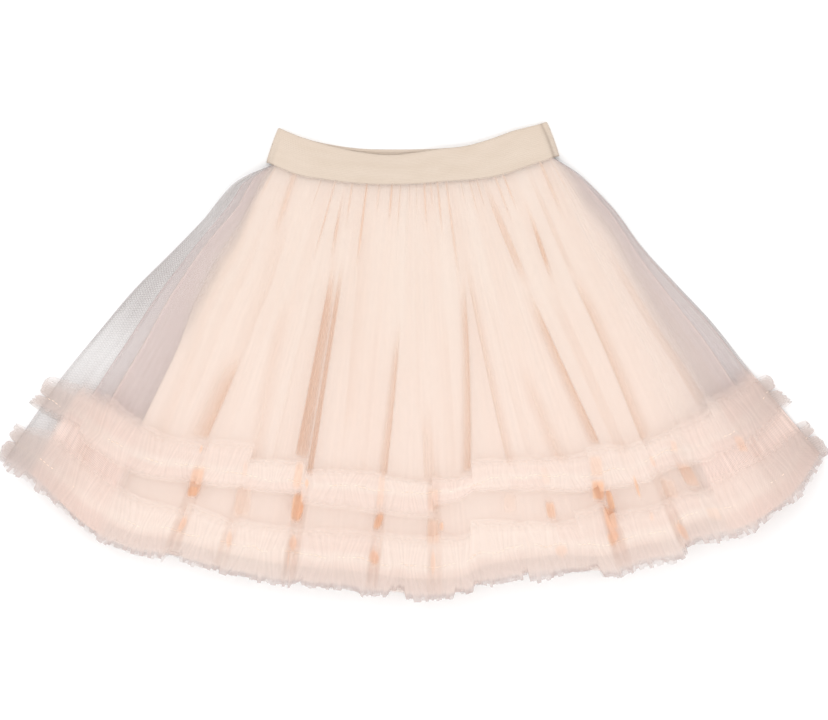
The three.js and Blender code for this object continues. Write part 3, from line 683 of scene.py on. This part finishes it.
# %% Back, ears and ring of a ruffle
def ruffle_back(name, coarse, rng):
    """Points of the back, pressed flat between the skirt and the floor."""
    ruffle = RUFFLES[name]
    torn = per_pleat(rng, np.floor(coarse / ruffle["pleat"]), -1.8, 1.6)
    step = straight(HEM_STEPS, "out", coarse) * 0.6 - 1.0 if name == "lower_ruffle" else 0 * coarse
    v = ruffle_share(ruffle, coarse, TURNS) + np.where(TURNS < 0, -torn, step + torn) * FREE**3 / LENGTH_MM
    x, y = lies_at(coarse + 0 * TURNS, v)
    return np.stack([x, y, 0.95 + 0.55 * FREE * np.sin(np.pi * coarse / ruffle["pleat"])], -1)


def ruffle_ears(over, beneath, rng):
    """Points that take the strip round each side fold. It stands out there, most at its free edges."""
    steps = np.linspace(0, 1, 9)[1:-1][None, :]
    teeth = rng.uniform(0.78, 1.12, (len(TURNS), 1))
    reach = (1 + 10 * ease(FREE, 0.02, 0.12)) * (1 - np.abs(2 * steps - 1) ** 5) * teeth
    ears = []
    for start, end in ((over[:, -1:], beneath[:, :1]), (beneath[:, -1:], over[:, :1])):
        between = start + (end - start) * steps[..., None]
        ears.append(between + np.stack([np.sign(start[..., 0]) * reach * 0.8, reach * 0.45, 0 * reach], -1))
    return ears


def ruffle_ring(name):
    ruffle = RUFFLES[name]
    rng = np.random.default_rng(ruffle["seed"])
    over, front_marks = ruffle_front(name, rng)
    coarse = ruffle_columns(ruffle, BACK_POINTS_PER_PLEAT)[:, ::-1]
    beneath = ruffle_back(name, coarse, rng)
    right, left = ruffle_ears(over, beneath, rng)
    parts = (over, right, beneath, left)
    points = np.concatenate(parts, axis=1)

    def joined(front, side, back):
        """One value for each point of the ring, from those of its front, its sides and its back."""
        values = zip((front, side, back, side), parts)
        return np.concatenate([value * np.ones(part.shape[:2]) for value, part in values], axis=1)

    fringe_shade, sheer = hem_fringe(name), 0.5 + 0.3 * ease(FREE, 0.4, 0.9)
    marks = {
        "fold_cover_and_shade": joined(front_marks["fold_cover_and_shade"], 0, 0),
        "unlined_shading": joined(front_marks["unlined_shading"], SIDE_BARE, ruffle_bare(coarse)),
        "sheer": joined(front_marks["sheer"], sheer, sheer),
        "fringe_shade": joined(fringe_shade, fringe_shade, fringe_shade),
        "tone": joined(front_marks["tone"], 0.5, 0.5),
        "gap_cover_and_shade": joined(front_marks["gap_cover_and_shade"], 0, 0),
    }
    piece = ring_mesh(name, points, 2.0, TURNS * 0.03, marks)
    # The thread shows in places only, and sinks between the gathers in others, most at the sides
    thread_line = points[len(TURNS) // 2].copy()
    x = thread_line[:, 0]
    thread_line[:, 2] += 0.7 * uneven(x, 0 * x, 31, ruffle["seed"] + 11) - 0.4 - 0.4 * ease(np.abs(x), 190, 260)
    return piece, thread_line


upper_ruffle, upper_thread = ruffle_ring("upper_ruffle")
lower_ruffle, lower_thread = ruffle_ring("lower_ruffle")


# %% [markdown]
# ## The waistband
# Wide woven elastic, joined into a ring and pressed flat, with a fold at each end. Its front climbs from the
# open top onto the gathered pile, and its back lies on the surface and shows a little above the front. It is
# a ring like the others, given its thickness with Solidify, which keeps both faces of the elastic alike.

# %% Waistband as a ring with a thickness
BAND_PILE = FLOOR_LIFT + SEAM_PITCH * 8
BAND_ROWS, BAND_COLUMNS, BAND_THICK = 16, 150, 1.3
BAND_ROUND, BAND_HEIGHT = 0.5, 0.03  # metres
END_FOLD_AT, END_FOLD_WIDTH = 40.2, 0.35  # degrees, the crease near the right end


def band_side(angle, down, is_front):
    rise = 0 if is_front else along(WAIST, "angle", "back_rise", angle)
    top, seam = along(WAIST, "angle", "top", angle) - rise, along(WAIST, "angle", "seam", angle)
    x, y = on_fan(angle * mix(1.1, 1, down), mix(top, seam, down))
    if not is_front:
        return np.stack([x, y, 0.75 + 0 * x], -1)
    mouth = FLOOR_LIFT + 3 * (1 - (angle / SIDE) ** 2)
    climbing = mix(mouth, BAND_PILE, ease(down, 0, 0.72))
    z = mix(FLOOR_LIFT, climbing, ease(SIDE - np.abs(angle), 0, 1.2)) + 1 - 0.7 * down**2
    # The woven edge ripples slightly where the gathers pull it
    return np.stack([x, y, z + 0.35 * uneven(angle, down, 3.3, 31) * down**2], -1)


down = np.linspace(0, 1, BAND_ROWS)[:, None]
across = np.linspace(-SIDE, SIDE, BAND_COLUMNS)[None, :]
band_front = band_side(across + 0 * down, down + 0 * across, True)
band_back = band_side(across[:, ::-1] + 0 * down, down + 0 * across, False)
fold_right = (band_front[:, -1:] + band_back[:, :1]) / 2 + np.array([1.2, 0, 0])
fold_left = (band_back[:, -1:] + band_front[:, :1]) / 2 - np.array([1.2, 0, 0])
band_points = np.concatenate([band_front, fold_right, band_back, fold_left], axis=1)
# Painted shade along the crease near the right end
end_fold_shade = np.zeros(band_points.shape[:2])
end_fold_shade[:, :BAND_COLUMNS] = np.exp(-(((across - END_FOLD_AT) / END_FOLD_WIDTH) ** 2))
waistband = ring_mesh("waistband", band_points, BAND_ROUND, down * BAND_HEIGHT, {"end_fold_shade": end_fold_shade})
thickness = waistband.modifiers.new("elastic's thickness", "SOLIDIFY")
thickness.thickness, thickness.offset = BAND_THICK * MM, 0
thickness.use_even_offset = False


# %% [markdown]
# ## Stitching
# The gathering thread shows along the middle of each ruffle as a row of short stitches that dip in and out.
# Repeated small things are a job for Geometry Nodes: the row is a polyline, points are set along it at the
# stitch length, and one small stitch is placed on each, turned along the row.

# %% Node helper and the stitch tree
def add(tree, kind, inputs=None, **settings):
    """Adds a node. A value is set on the input that it is given for, and a socket or a node's first output is
    linked to it."""
    node = tree.nodes.new(kind)
    for key, value in settings.items():
        setattr(node, key, value)
    for key, value in (inputs or {}).items():
        named = (socket for socket in node.inputs if key in (socket.identifier, socket.name))
        socket = node.inputs[key] if isinstance(key, int) else next(named)
        value = value.outputs[0] if isinstance(value, bpy.types.Node) else value
        if isinstance(value, bpy.types.NodeSocket):
            tree.links.new(value, socket)
        else:
            socket.default_value = value
    return node


STITCH_SIZES = {"Spacing": 0.0042, "Stitch length": 0.0030, "Thread thickness": 0.0007, "Wander": 0.0004}  # metres


def stitch_tree():
    tree = bpy.data.node_groups.new("Row of stitches", "GeometryNodeTree")
    tree.is_modifier = True

    def asked(label, kind, value=None):
        socket = tree.interface.new_socket(label, in_out="INPUT", socket_type="NodeSocket" + kind)
        if value is not None:
            socket.default_value = value

    asked("Geometry", "Geometry")
    for label, metres in STITCH_SIZES.items():
        asked(label, "Float", metres)
    asked("Seed", "Int", 3)
    asked("Thread", "Material")
    tree.interface.new_socket("Geometry", in_out="OUTPUT", socket_type="NodeSocketGeometry")
    sizes = add(tree, "NodeGroupInput").outputs

    def vector(x, y, z=0.0):
        return add(tree, "ShaderNodeCombineXYZ", {0: x, 1: y, 2: z})

    wander, thick = sizes["Wander"], sizes["Thread thickness"]
    back = add(tree, "ShaderNodeMath", {0: wander, 1: -1.0}, operation="MULTIPLY")
    low, high = vector(back, back), vector(wander, wander)
    line = add(tree, "GeometryNodeMeshToCurve", {0: sizes["Geometry"]})
    along_line = {"Curve": line, "Length": sizes["Spacing"]}
    points = add(tree, "GeometryNodeCurveToPoints", along_line, mode="LENGTH")
    offset = add(tree, "FunctionNodeRandomValue", {0: low, 1: high, "Seed": sizes["Seed"]}, data_type="FLOAT_VECTOR")
    moved = add(tree, "GeometryNodeSetPosition", {"Geometry": points, "Offset": offset})
    ball = add(tree, "GeometryNodeMeshUVSphere", {"Segments": 6, "Rings": 5, "Radius": 0.5})
    scale = vector(thick, thick, sizes["Stitch length"])
    stitch = add(tree, "GeometryNodeTransform", {"Geometry": ball, "Scale": scale})
    placed = add(tree, "GeometryNodeInstanceOnPoints", {
        "Points": moved, "Instance": stitch, "Rotation": points.outputs["Rotation"],
    })
    solid = add(tree, "GeometryNodeRealizeInstances", {0: placed})
    painted = add(tree, "GeometryNodeSetMaterial", {"Geometry": solid, "Material": sizes["Thread"]})
    add(tree, "NodeGroupOutput", {0: painted})
    return tree


STITCH_LIFT = 0.35  # millimetres above the net


def stitch_row(name, line_mm, tree, thread):
    """A row of stitches along a line of points, baked to a plain mesh."""
    line = (line_mm + np.array([0, 0, STITCH_LIFT])) * MM
    count = len(line)
    guide = bpy.data.meshes.new(name + "_guide")
    guide.from_pydata(line.tolist(), [(i, (i + 1) % count) for i in range(count)], [])
    holder = put(name + "_guide", guide)
    modifier = holder.modifiers.new("stitches", "NODES")
    modifier.node_group = tree
    for item in tree.interface.items_tree:
        if item.name == "Thread":
            modifier[item.identifier] = thread
    baked = bpy.data.meshes.new_from_object(holder.evaluated_get(bpy.context.evaluated_depsgraph_get()))
    bpy.data.objects.remove(holder)
    baked.shade_smooth()
    print(name, "has", len(baked.polygons), "faces")
    return put(name, baked)


# %% [markdown]
# ## Finishes
# Colours are written as on screen, in sRGB hex, and one function turns them to the linear values that the
# shaders use. A few small functions take up what every finish needs: its marks, its sums, its mixed colours,
# its clouds and its matt surface.

# %% Colour and finish helpers
def linear(hex_colour):
    def channel(value):
        return value / 12.92 if value <= 0.04045 else ((value + 0.055) / 1.055) ** 2.4

    return (*(channel(int(hex_colour[k : k + 2], 16) / 255) for k in (0, 2, 4)), 1.0)


def new_material(name):
    material = bpy.data.materials.new(name)
    material.use_nodes = True
    material.node_tree.nodes.clear()
    return material, material.node_tree


def marks_of(tree, *names):
    return [add(tree, "ShaderNodeAttribute", attribute_name=name).outputs["Fac"] for name in names]


def cloth_map(tree):
    return add(tree, "ShaderNodeUVMap", uv_map="cloth")


def reckon(tree, operation, *values, clamp=False):
    return add(tree, "ShaderNodeMath", dict(enumerate(values)), operation=operation, use_clamp=clamp)


def rescale(tree, value, low=0.0, high=1.0, to_low=0.0, to_high=1.0):
    """Turns values from low to high into values from to_low to to_high, and holds them there."""
    inputs = {"Value": value, "From Min": low, "From Max": high, "To Min": to_low, "To Max": to_high}
    return add(tree, "ShaderNodeMapRange", inputs)


def blend(tree, share, first, second):
    """The first colour turned to the second by share. A colour is a socket or a hex colour."""
    first, second = (linear(colour) if isinstance(colour, str) else colour for colour in (first, second))
    inputs = {"Factor_Float": share, "A_Color": first, "B_Color": second}
    return add(tree, "ShaderNodeMix", inputs, data_type="RGBA").outputs["Result"]


def clouds_of(tree, cloth, across, down, detail, roughness=0.5):
    """Noise on the cloth map, with about so many clouds a metre across and down."""
    stretch = add(tree, "ShaderNodeMapping", {"Vector": cloth, "Scale": (across, down, 1.0)})
    inputs = {"Vector": stretch, "Scale": 1.0, "Detail": detail, "Roughness": roughness}
    return add(tree, "ShaderNodeTexNoise", inputs, noise_dimensions="2D")


def surface(tree, colour, roughness, inputs, bump=None):
    """Ends a finish in a Principled surface. bump is a height, its strength and its distance in metres."""
    inputs = {"Base Color": colour, "Roughness": roughness, **inputs}
    if bump:
        inputs["Normal"] = add(tree, "ShaderNodeBump", dict(zip(("Height", "Strength", "Distance"), bump)))
    face = add(tree, "ShaderNodeBsdfPrincipled", inputs)
    add(tree, "ShaderNodeOutputMaterial", {"Surface": face})


print("peach in linear light:", [round(c, 3) for c in linear("F9E4D6")])


# %% [markdown]
# ### Soft nylon tulle
# Tulle is a knitted net of very fine nylon, matt and soft, with holes about a millimetre wide. From a step
# away the eye sees a veil: part of what lies behind, and part of the thread's own pale peach, which looks
# greyer where no lining brightens it from below. That look is painted into the net's colour: as a greyer shade
# for the outer two layers and as paler light for the third. Shade is painted too in the folds, in the openings
# between the ruffle's blocks and under a ruffle's end. So the finish is a matt thread colour whose cover varies
# with the net's holes, with streaks down the cloth where it bunches, and with the places where it lies doubled.

# %% Net finish for the layers
NET_HOLE_MM = 1.9  # real holes are about 1.1 mm, too fine for the picture, so they are drawn larger
# Both colours are painted shade: the first deep in a fold, the second in an opening between the ruffle's blocks
FOLD_SHADE, GAP_SHADE = "E8CAB6", "EDC0A1"  # the net's colour deep in a fold, and in an opening between blocks
SOFT_NET = {"Specular IOR Level": 0.15, "Sheen Weight": 0.15, "Sheen Roughness": 0.4}


def net_cover(tree, cover, streak_gain, hole_share):
    """Nodes for how much of the surface the net covers, and for its streaks."""
    cloth = cloth_map(tree)
    streak = clouds_of(tree, cloth, 150.0, 7.0, 4.0, 0.6)
    turned = add(tree, "ShaderNodeMapping", {
        "Vector": cloth, "Rotation": (0.0, 0.0, math.radians(45)), "Scale": (1000 / NET_HOLE_MM,) * 3,
    })
    cells = add(tree, "ShaderNodeTexVoronoi", {"Vector": turned, "Scale": 1.0, "Randomness": 0.12},
                voronoi_dimensions="2D", feature="DISTANCE_TO_EDGE")
    thread = rescale(tree, cells.outputs["Distance"], 0.08, 0.2, 1 + hole_share, 1 - hole_share * 0.5)
    streaked = rescale(tree, streak, 0.3, 0.7, cover * (1 - streak_gain), cover * (1 + streak_gain))
    return reckon(tree, "MULTIPLY", streaked, thread), streak


def net_finish(name, over_lining, unlined_shading, cover, bare_cover, doubled_gain, fold_gain):
    material, tree = new_material(name)
    fold_cover_and_shade, bared, doubled, dense, ruffle_end_shade, gap_cover_and_shade = marks_of(tree, "fold_cover_and_shade", "unlined_shading", "doubled", "bunched", "ruffle_end_shade", "gap_cover_and_shade")
    base, streak = net_cover(tree, cover, 0.13, 0.4)
    covered = reckon(tree, "MULTIPLY", base, rescale(tree, bared, to_low=1.0, to_high=bare_cover / cover))
    denser = reckon(tree, "MULTIPLY", covered, reckon(tree, "MULTIPLY_ADD", dense, 1.5, 1.0))
    # In a fold the net lies over itself several times, so it covers more there, and most in an opening
    folded = reckon(tree, "MULTIPLY_ADD", fold_cover_and_shade, 0.55 * fold_gain, denser)
    opened = reckon(tree, "MULTIPLY_ADD", gap_cover_and_shade, 0.65 * fold_gain, folded)
    alpha = reckon(tree, "MULTIPLY_ADD", doubled, doubled_gain, opened, clamp=True)
    # Painted light and shade: where no lining lies under it the net is painted greyer, and the third net paler
    colour = blend(tree, bared, over_lining, unlined_shading)
    # Painted shade: pinker where the net lies under a ruffle's end
    colour = blend(tree, ruffle_end_shade, colour, "F8E2D8")
    # Painted shade: the net turns orange deep in a fold
    colour = blend(tree, rescale(tree, fold_cover_and_shade, high=0.45), colour, FOLD_SHADE)
    # Painted shade: orange in an opening between the ruffle's blocks
    colour = blend(tree, rescale(tree, gap_cover_and_shade, high=0.75), colour, GAP_SHADE)
    surface(tree, colour, 0.85, {**SOFT_NET, "Alpha": alpha}, bump=(streak, 0.12, 0.0006))
    return material


# Each net's colour over the lining, then its painted colour of light and shade where no lining lies under it
outer_net = net_finish("Soft nylon tulle, outer layer", "F5E8E1", "C3BCBA", 0.15, 0.14, 0.25, 1.0)
second_net = net_finish("Soft nylon tulle, second layer", "F5E7DF", "E2CFCB", 0.15, 0.17, 0.2, 0.15)
third_net = net_finish("Soft nylon tulle, third layer", "F6E7DE", "FDECE6", 0.15, 0.3, 0.2, 0.15)


# %% [markdown]
# ### Net of the ruffles
# The same net, but gathered so closely that it covers far more. It thins out to a single sheet at the raw
# edges, where it looks like a grey-white fringe. That grey is painted shade, as are the greyer colour at its
# sides, where no lining lies under it, and the orange in the folds and the openings.

# %% Net finish for the ruffles
def ruffle_finish(name):
    material, tree = new_material(name)
    fold_cover_and_shade, unlined_shading, sheer, fringe_shade, tone, gap_cover_and_shade = marks_of(tree, "fold_cover_and_shade", "unlined_shading", "sheer", "fringe_shade", "tone", "gap_cover_and_shade")
    base, streak = net_cover(tree, 0.56, 0.1, 0.1)
    covered = reckon(tree, "MULTIPLY", base, rescale(tree, sheer, to_low=1.0, to_high=0.3))
    alpha = reckon(tree, "MULTIPLY_ADD", gap_cover_and_shade, 0.5, covered, clamp=True)
    colour = blend(tree, tone, "F9EAE0", "F3DED4")
    # Painted shade: greyer at the sides, where no lining lies under the ruffle
    colour = blend(tree, unlined_shading, colour, "D3C2BB")
    # Painted shade: greyer towards the hem's raw edge
    colour = blend(tree, fringe_shade, colour, "BCA7A1")
    # Painted shade: faintly orange over the folds
    colour = blend(tree, fold_cover_and_shade, colour, FOLD_SHADE)
    # Painted shade: orange in an opening between the blocks
    colour = blend(tree, rescale(tree, gap_cover_and_shade, high=0.95), colour, GAP_SHADE)
    surface(tree, colour, 0.85, {**SOFT_NET, "Alpha": alpha}, bump=(streak, 0.1, 0.0006))
    return material


ruffle_net = ruffle_finish("Soft nylon tulle, gathered")


# %% [markdown]
# ### Lining
# A thin plain-woven lining in the same peach. It is the only opaque layer, but for its sides, where it lies in
# loose single folds and thins out. Its warm colour shows through the net. In the folds a deeper orange is
# painted into it as shade, for the light that bounces between warm walls there. Towards the hem it is painted
# paler, as light against the shade that falls under the ruffles.

# %% Plain-weave lining finish
THREAD_MM = 0.5  # a lining's threads are about 0.25 mm apart, drawn coarser so that they show


def lining_finish():
    material, tree = new_material("Plain-weave polyester lining")
    fold_cover_and_shade, thin = marks_of(tree, "fold_cover_and_shade", "thin")
    cloth = cloth_map(tree)
    scaled = add(tree, "ShaderNodeMapping", {"Vector": cloth, "Scale": (1000 / THREAD_MM,) * 3})
    checks = {"Color1": (0.46, 0.46, 0.46, 1), "Color2": (0.54, 0.54, 0.54, 1), "Scale": 1.0}
    weave = add(tree, "ShaderNodeTexChecker", {"Vector": scaled, **checks})
    cast = clouds_of(tree, cloth, 15.0, 1.5, 3.0)
    colour = blend(tree, rescale(tree, cast, 0.35, 0.65, 0.0, 0.5), "F1E6DB", "EDD9CA")
    down = add(tree, "ShaderNodeSeparateXYZ", {0: cloth}).outputs[1]
    # Painted light: paler towards the hem, against the shade that falls under the ruffles
    colour = blend(tree, rescale(tree, down, 0.1, 0.3, 0.0, 0.75), colour, "FDEEE5")
    # Painted shade: a deeper orange in the folds
    colour = blend(tree, reckon(tree, "MULTIPLY", fold_cover_and_shade, 0.5), colour, "DFB092")
    alpha = reckon(tree, "MULTIPLY_ADD", thin, -0.75, 1.0)
    surface(tree, colour, 0.8, {"Specular IOR Level": 0.2, "Sheen Weight": 0.1, "Alpha": alpha},
            bump=(weave.outputs["Fac"], 0.2, 0.0002))
    return material


lining_cloth = lining_finish()


# %% [markdown]
# ### Ribbed elastic
# Waistband elastic is knitted or woven over rubber threads that run round the waist, so it has fine level
# ribs, a matt face and firm edges. Its beige is a little greyer than the skirt. Shade is painted into the
# hollows between the ribs and along the crease of the fold near its right end.

# %% Ribbed elastic finish
RIB_MM, KNIT_MM = 1.5, 1.1


def elastic_finish():
    material, tree = new_material("Ribbed woven elastic")
    (end_fold_shade,) = marks_of(tree, "end_fold_shade")
    cloth = cloth_map(tree)
    parts = add(tree, "ShaderNodeSeparateXYZ", {0: cloth}).outputs

    def repeated(metres, every_mm):
        return reckon(tree, "SINE", reckon(tree, "MULTIPLY", metres, 2 * math.pi * 1000 / every_mm))

    rib, knit = repeated(parts[1], RIB_MM), repeated(parts[0], KNIT_MM)
    colour = blend(tree, clouds_of(tree, cloth, 30.0, 120.0, 3.0), "DFCFC0", "D6C5B4")
    # Painted shade in the hollows between the ribs
    colour = blend(tree, rescale(tree, rib, -1.0, 1.0, 0.12, 0.0), colour, "B8A28C")
    # Painted shade along the crease of the end fold
    colour = blend(tree, end_fold_shade, colour, "BBAA9B")
    height = reckon(tree, "MULTIPLY_ADD", knit, 0.25, rib)
    surface(tree, colour, 0.75, {"Specular IOR Level": 0.2, "Sheen Weight": 0.1}, bump=(height, 0.35, 0.0003))
    return material


elastic = elastic_finish()


# %% [markdown]
# ### Gathering thread
# Spun polyester thread, slightly paler than the net, twisted from fibres, so it is matt with a faint slant.

# %% Thread finish
def grained(name, grain_scale, first, second, roughness, inputs):
    """A finish with a fine grain of two colours through the piece."""
    material, tree = new_material(name)
    place = add(tree, "ShaderNodeTexCoord").outputs["Object"]
    grain = add(tree, "ShaderNodeTexNoise", {"Vector": place, "Scale": grain_scale, "Detail": 2.0})
    surface(tree, blend(tree, grain, first, second), roughness, inputs)
    return material


thread = grained("Spun polyester thread", 2500.0, "FFEEDD", "F6DAC6", 0.6, {"Sheen Weight": 0.2})
stitches = stitch_tree()
upper_stitches = stitch_row("upper_ruffle_stitches", upper_thread, stitches, thread)
lower_stitches = stitch_row("lower_ruffle_stitches", lower_thread, stitches, thread)

for piece, material in (
    (outer_tulle, outer_net), (second_tulle, second_net), (third_tulle, third_net), (lining, lining_cloth),
    (upper_ruffle, ruffle_net), (lower_ruffle, ruffle_net), (waistband, elastic),
):
    piece.data.materials.append(material)


# %% [markdown]
# ## Floor, light and camera
# The skirt lies on a plain white floor. Most of the light is a wide even sky, with a soft lamp from the upper
# left and a slightly larger one from the lower right, so the folds read and hardly any shadow falls beside the
# skirt. The camera looks straight down from far off, as for a catalogue picture of clothes laid flat.

# %% Floor
floor_mesh = bpy.data.meshes.new("floor")
floor_mesh.from_pydata([(-4, -4, 0), (4, -4, 0), (4, 4, 0), (-4, 4, 0)], [], [(0, 1, 2, 3)])
floor = put("floor", floor_mesh)
floor_mesh.materials.append(grained("Matt white paper", 60.0, "FDFDFD", "FBFBFB", 0.9, {"Specular IOR Level": 0.1}))

# %% Light
world = bpy.data.worlds.new("even studio light")
world.use_nodes = True
world.node_tree.nodes["Background"].inputs["Color"].default_value = (1, 1, 1, 1)
world.node_tree.nodes["Background"].inputs["Strength"].default_value = 1.0
bpy.context.scene.world = world


def soft_lamp(name, place, size, power):
    data = bpy.data.lights.new(name, "AREA")
    data.shape, data.size, data.energy = "DISK", size, power
    lamp = put(name, data)
    lamp.location = place
    lamp.rotation_euler = Vector(place).to_track_quat("Z", "Y").to_euler()


soft_lamp("key lamp", (-1.1, 1.2, 2.2), 1.4, 10)
soft_lamp("fill lamp", (0.7, -0.8, 2.6), 1.6, 10)

# %% Camera
CAMERA_HEIGHT, LOOKS_AT_HEIGHT, SENSOR_MM = 5.0, 0.012, 36
PICTURE_WIDTH, MM_PER_PIXEL = 828, 0.86
camera_data = bpy.data.cameras.new("camera")
camera_data.sensor_fit, camera_data.sensor_width = "HORIZONTAL", SENSOR_MM
camera_data.lens = SENSOR_MM * (CAMERA_HEIGHT - LOOKS_AT_HEIGHT) / (PICTURE_WIDTH * MM_PER_PIXEL * MM)
camera = put("camera", camera_data)
camera.location = (0, 0, CAMERA_HEIGHT)
bpy.context.scene.camera = camera
bpy.context.scene.view_settings.view_transform = "Standard"
# A ray through the pile crosses up to sixteen sheets of net
bpy.context.scene.cycles.transparent_max_bounces = 40


# %% [markdown]
# ## Into the frame
# Each ring rides on the part's one body and stands for the front and back solids of the imported model, which
# are hidden. The rows of stitches ride on the same body.

# %% Tie the pieces to the frame
for piece, slot, sheet in (
    (outer_tulle, "tulle", {"flat": (1.8, 0.36), "area": 0.5}),
    (second_tulle, "tulle", {"flat": (1.76, 0.36), "area": 0.48}),
    (third_tulle, "tulle", {"flat": (1.72, 0.36), "area": 0.46}),
    (lining, "lining", {"flat": (1.5, 0.35), "area": 0.4}),
    (upper_ruffle, "tulle", {"flat": (1.7, 0.038)}),
    (lower_ruffle, "tulle", {"flat": (1.85, 0.057)}),
    (waistband, "elastic", {"flat": (0.5, 0.03)}),
):
    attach(piece, "root")
    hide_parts(piece.name + "_front", piece.name + "_back")
    extra = [upper_stitches] if piece is upper_ruffle else [lower_stitches] if piece is lower_ruffle else []
    for stitching in extra:
        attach(stitching, "root")
